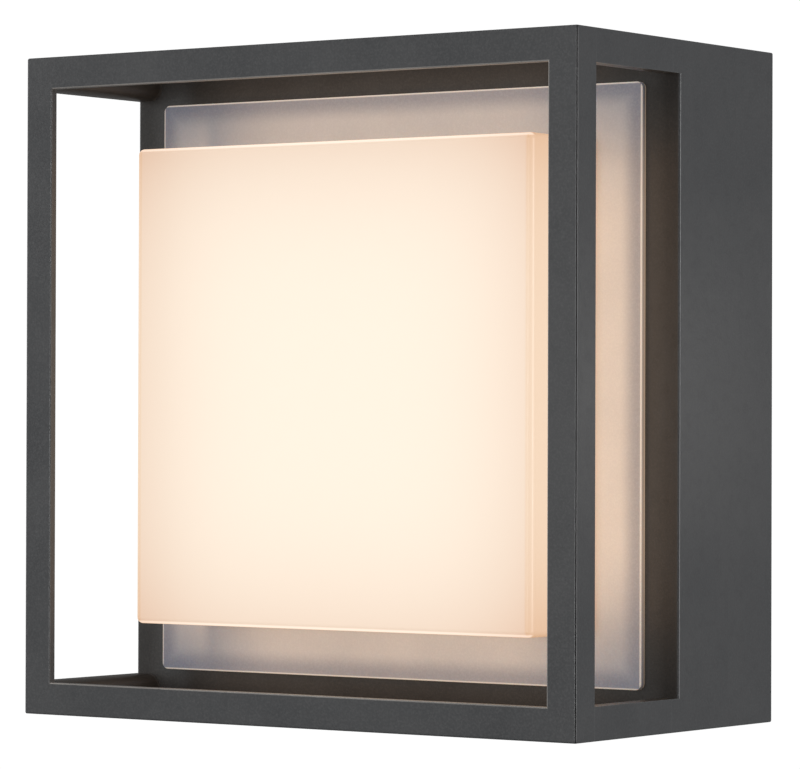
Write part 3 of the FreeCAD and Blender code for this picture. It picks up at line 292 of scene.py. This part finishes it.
def plastic(name, base, rough, grain=700.0, depth=0.12, sheen=0.4):
    a = Mat(name)
    cloud = a.noise(35.0, 3.0, 0.55)
    fine = a.noise(grain, 2.0, 0.55)
    col = a.mix(a.span(cloud, 0.0, 1.0, 0.3, 0.7), tuple(c * 0.92 for c in base), tuple(min(1.0, c * 1.06) for c in base))
    col = a.mix(a.math("MULTIPLY", a.edges(0.0004), 0.35), col, tuple(min(1.0, c * 1.3 + 0.02) for c in base))
    a.colour(col)
    a.rough(a.span(fine, rough - 0.05, rough + 0.08, 0.3, 0.7))
    a.set(Specular_IOR_Level=sheen)
    a.bump(fine, depth, 0.00003)
    return a.m


def foam():
    a = Mat("closed_cell_foam")
    cells = a.voronoi(1400.0)
    a.colour(a.mix(a.span(cells, 0.0, 1.0, 0.1, 0.7), (0.012, 0.012, 0.012), (0.030, 0.030, 0.030)))
    a.rough(a.span(cells, 0.80, 0.95, 0.1, 0.7))
    a.set(Specular_IOR_Level=0.2)
    a.bump(cells, 0.5, 0.00010)
    return a.m


def enamel():
    a = Mat("white_enamel")
    cloud = a.noise(20.0, 3.0, 0.5)
    peel = a.noise(260.0, 2.0, 0.5)
    a.colour(a.mix(a.span(cloud, 0.0, 1.0, 0.3, 0.7), (0.80, 0.80, 0.79), (0.86, 0.86, 0.85)))
    a.rough(a.span(peel, 0.22, 0.32, 0.3, 0.7))
    a.bump(peel, 0.12, 0.00004)
    return a.m


def board():
    """White solder mask with slightly raised copper tracks under it."""
    a = Mat("white_solder_mask")
    X, Y, Z = a.axes()
    lane = a.math("PINGPONG", a.math("ADD", Z, 0.008), 0.008)
    track = a.smooth(lane, 1.0, 0.0, 0.0008, 0.0011)
    cloud = a.noise(40.0, 2.0)
    col = a.mix(a.span(cloud, 0.0, 1.0, 0.3, 0.7), (0.78, 0.78, 0.75), (0.84, 0.84, 0.82))
    a.colour(a.mix(a.math("MULTIPLY", track, 0.35), col, (0.66, 0.66, 0.60)))
    a.rough(a.span(cloud, 0.35, 0.45, 0.3, 0.7))
    a.bump(track, 0.4, 0.00005)
    return a.m


def phosphor():
    a = Mat("led_phosphor")
    dots = a.noise(2500.0, 2.0)
    a.colour(a.mix(a.span(dots, 0.0, 1.0, 0.3, 0.7), (0.80, 0.60, 0.14), (0.90, 0.74, 0.28)))
    a.rough(a.span(dots, 0.35, 0.5, 0.3, 0.7))
    a.b.inputs["Emission Color"].default_value = (1.0, 0.82, 0.55, 1.0)
    a.b.inputs["Emission Strength"].default_value = 1.5
    a.bump(dots, 0.2, 0.00002)
    return a.m


def striped(name, one, two):
    """Insulation in two colours that wind round the wire."""
    a = Mat(name)
    X, Y, Z = a.axes()
    turn = a.math("PINGPONG", a.math("ADD", a.math("ADD", X, Z), a.math("MULTIPLY", Y, 1.4)), 0.0022)
    band = a.smooth(turn, 0.0, 1.0, 0.0010, 0.0012)
    fine = a.noise(900.0, 2.0)
    a.colour(a.mix(band, one, two))
    a.rough(a.span(fine, 0.32, 0.42, 0.3, 0.7))
    a.bump(fine, 0.08, 0.00002)
    return a.m


OPAL_GLOW = ((0.77, 0.100, -0.03), (0.645, 0.155, -0.06), (0.510, 0.156, -0.09))   # red, green, blue: middle, drop at an edge, side wall
# strengths of the frosted plate's painted glow along its sides and along its top and bottom
PLATE_SIDE_GLOW, PLATE_LID_GLOW = 0.42, 0.265

ANTHRACITE = paint_anthracite()
ZINC = steel("zinc_plated_sheet", (0.56, 0.57, 0.60), 0.38, spangle=0.08)
SCREW = steel("zinc_plated_screw", (0.62, 0.62, 0.62), 0.30)
STAINLESS = steel("stainless_screw", (0.42, 0.42, 0.43), 0.32, brushed=(1.0, 1.0, 14.0))
ALU = steel("mill_aluminium", (0.68, 0.69, 0.71), 0.34, brushed=(0.15, 1.0, 6.0))
BRASS = steel("brass", (0.72, 0.52, 0.22), 0.30)
TIN = steel("tinned_copper", (0.66, 0.64, 0.60), 0.34)
RUBBER = plastic("black_rubber", (0.018, 0.018, 0.018), 0.72, grain=1100.0, depth=0.3, sheen=0.25)

GIVE = {
    ANTHRACITE: ["front_frame", "corner_rail_top_left", "corner_rail_top_right", "corner_rail_bottom_left", "corner_rail_bottom_right", "housing"],
    opal(): ["opal_box"],
    frosted(): ["frosted_plate"],
    foam(): ["wall_seal"],
    plastic("silicone_grey", (0.42, 0.42, 0.42), 0.6, grain=900.0, depth=0.2, sheen=0.3): ["diffuser_gasket"],
    enamel(): ["reflector_pan"],
    board(): ["led_board"],
    phosphor(): ["led_chips"],
    ALU: ["heat_spreader"],
    plastic("ivory_nylon", (0.74, 0.72, 0.64), 0.45): ["board_connector"],
    ZINC: ["gear_plate", "wall_bracket"],
    plastic("driver_grey", (0.60, 0.60, 0.58), 0.5, grain=500.0, depth=0.25): ["driver_case"],
    plastic("driver_lid_grey", (0.66, 0.66, 0.64), 0.46, grain=500.0, depth=0.25): ["driver_lid"],
    plastic("polyamide_natural", (0.70, 0.70, 0.66), 0.4, grain=600.0): ["terminal_block"],
    BRASS: ["terminal_clamps", "earth_screw"],
    TIN: ["earth_lug"],
    SCREW: ["terminal_screws", "terminal_block_screws", "earth_washer", "gear_plate_screws", "driver_screws", "diffuser_screws", "board_screws"],
    RUBBER: ["lead_grommets", "cable_grommet"],
    STAINLESS: ["clamp_screw_left", "clamp_screw_right"],
    plastic("brown_insulation", (0.16, 0.065, 0.03), 0.36, grain=900.0): ["live_wire"],
    plastic("blue_insulation", (0.04, 0.16, 0.50), 0.36, grain=900.0): ["neutral_wire"],
    striped("green_yellow_insulation", (0.04, 0.30, 0.05), (0.80, 0.66, 0.04)): ["earth_wire"],
    plastic("red_insulation", (0.50, 0.03, 0.02), 0.36, grain=900.0): ["led_lead_positive"],
    plastic("black_insulation", (0.02, 0.02, 0.02), 0.36, grain=900.0): ["led_lead_negative"],
}
given = set()
for material, names in GIVE.items():
    for n in names:
        o = nodes[n]
        if not o.material_slots:
            o.data.materials.append(material)
        for s in o.material_slots:
            s.material = material
        given.add(n)
missing = sorted(set(nodes) - given)
if missing:
    raise RuntimeError("nodes with no material: %s" % missing)

# ------------------------------------------------------------------ stage: a pale floor, a white room and soft lamps
mesh = bpy.data.meshes.new("stage_floor")
s = 6.0
mesh.from_pydata([(-s, -s, -1.8), (s, -s, -1.8), (s, s, -1.8), (-s, s, -1.8)], [], [(0, 1, 2, 3)])
floor = bpy.data.objects.new("stage_floor", mesh)
scene.collection.objects.link(floor)
f = Mat("pale_floor")
f.colour(f.mix(f.span(f.noise(1.2, 2.0), 0.0, 1.0, 0.3, 0.7), (0.86, 0.86, 0.86), (0.90, 0.90, 0.90)))
f.rough(f.span(f.noise(6.0, 2.0), 0.75, 0.85, 0.3, 0.7))
f.set(Emission_Color=(1.0, 1.0, 1.0, 1.0), Emission_Strength=0.5)
mesh.materials.append(f.m)
floor.visible_diffuse = False          # the floor is made to look pale, and doesn't throw that light back on the lantern
floor.visible_glossy = False

world = bpy.data.worlds.new("white_room")
scene.world = world
world.use_nodes = True
wt = world.node_tree
room = wt.nodes["Background"]
room.inputs["Color"].default_value = (1.0, 1.0, 1.0, 1.0)
room.inputs["Strength"].default_value = 0.18
paper = wt.nodes.new("ShaderNodeBackground")
paper.inputs["Color"].default_value = (1.0, 1.0, 1.0, 1.0)
paper.inputs["Strength"].default_value = 1.03
seen = wt.nodes.new("ShaderNodeLightPath")
both = wt.nodes.new("ShaderNodeMixShader")
wt.links.new(seen.outputs["Is Camera Ray"], both.inputs[0])
wt.links.new(room.outputs[0], both.inputs[1])
wt.links.new(paper.outputs[0], both.inputs[2])
wt.links.new(both.outputs[0], wt.nodes["World Output"].inputs["Surface"])


def lamp(name, at, aim, size, power, colour=(1.0, 1.0, 1.0)):
    data = bpy.data.lights.new(name, "AREA")
    data.shape = "RECTANGLE"
    data.size, data.size_y = size
    data.energy = power
    data.color = colour
    o = bpy.data.objects.new(name, data)
    scene.collection.objects.link(o)
    o.location = at
    o.rotation_mode = "QUATERNION"
    o.rotation_quaternion = (Vector(aim) - Vector(at)).to_track_quat("-Z", "Y")
    return o


lamp("key_softbox", (0.0, -3.0, 0.02), (0.0, -0.05, 0.0), (0.4, 0.4), 20.5)
lamp("side_softbox", (3.0, 0.35, 0.1), (0.0, -0.05, 0.0), (0.7, 1.0), 35.0)
lamp("fill_softbox", (-2.7, -0.9, 0.5), (0.0, -0.05, 0.0), (1.6, 1.6), 20.0)
lamp("top_softbox", (0.0, -1.2, 2.6), (0.0, -0.4, -1.8), (2.4, 2.4), 16.0)
lamp("left_strip", (-0.16, -0.50, -0.01), (0.095, -0.1075, -0.005), (0.06, 0.10), 0.040, (1.0, 0.96, 0.92))
lamp("right_strip", (0.27, 0.16, 0.0), (0.1, -0.10, 0.0), (0.05, 0.08), 0.020, (1.0, 0.96, 0.92))

# ------------------------------------------------------------------ camera: in front, to the right, level with the middle
cam_data = bpy.data.cameras.new("camera")
cam = bpy.data.objects.new("camera", cam_data)
scene.collection.objects.link(cam)
scene.camera = cam
yaw, pitch, roll = math.radians(35.25), math.radians(0.52), math.radians(-0.17)
fwd = Vector((-math.sin(yaw) * math.cos(pitch), math.cos(yaw) * math.cos(pitch), math.sin(pitch)))
right = Vector((math.cos(yaw), math.sin(yaw), 0.0))
down = fwd.cross(right)
c, s_ = math.cos(roll), math.sin(roll)
r2, d2 = c * right + s_ * down, c * down - s_ * right
rot = Matrix((r2, -d2, -fwd)).transposed()
cam.matrix_world = Matrix.Translation((0.7325, -1.0875, -0.0109)) @ rot.to_4x4()
cam_data.sensor_width = 36.0
cam_data.lens = 4195.0 / 800.0 * 36.0
cam_data.clip_start, cam_data.clip_end = 0.05, 60.0

scene.view_settings.view_transform = "Standard"
scene.view_settings.look = "None"
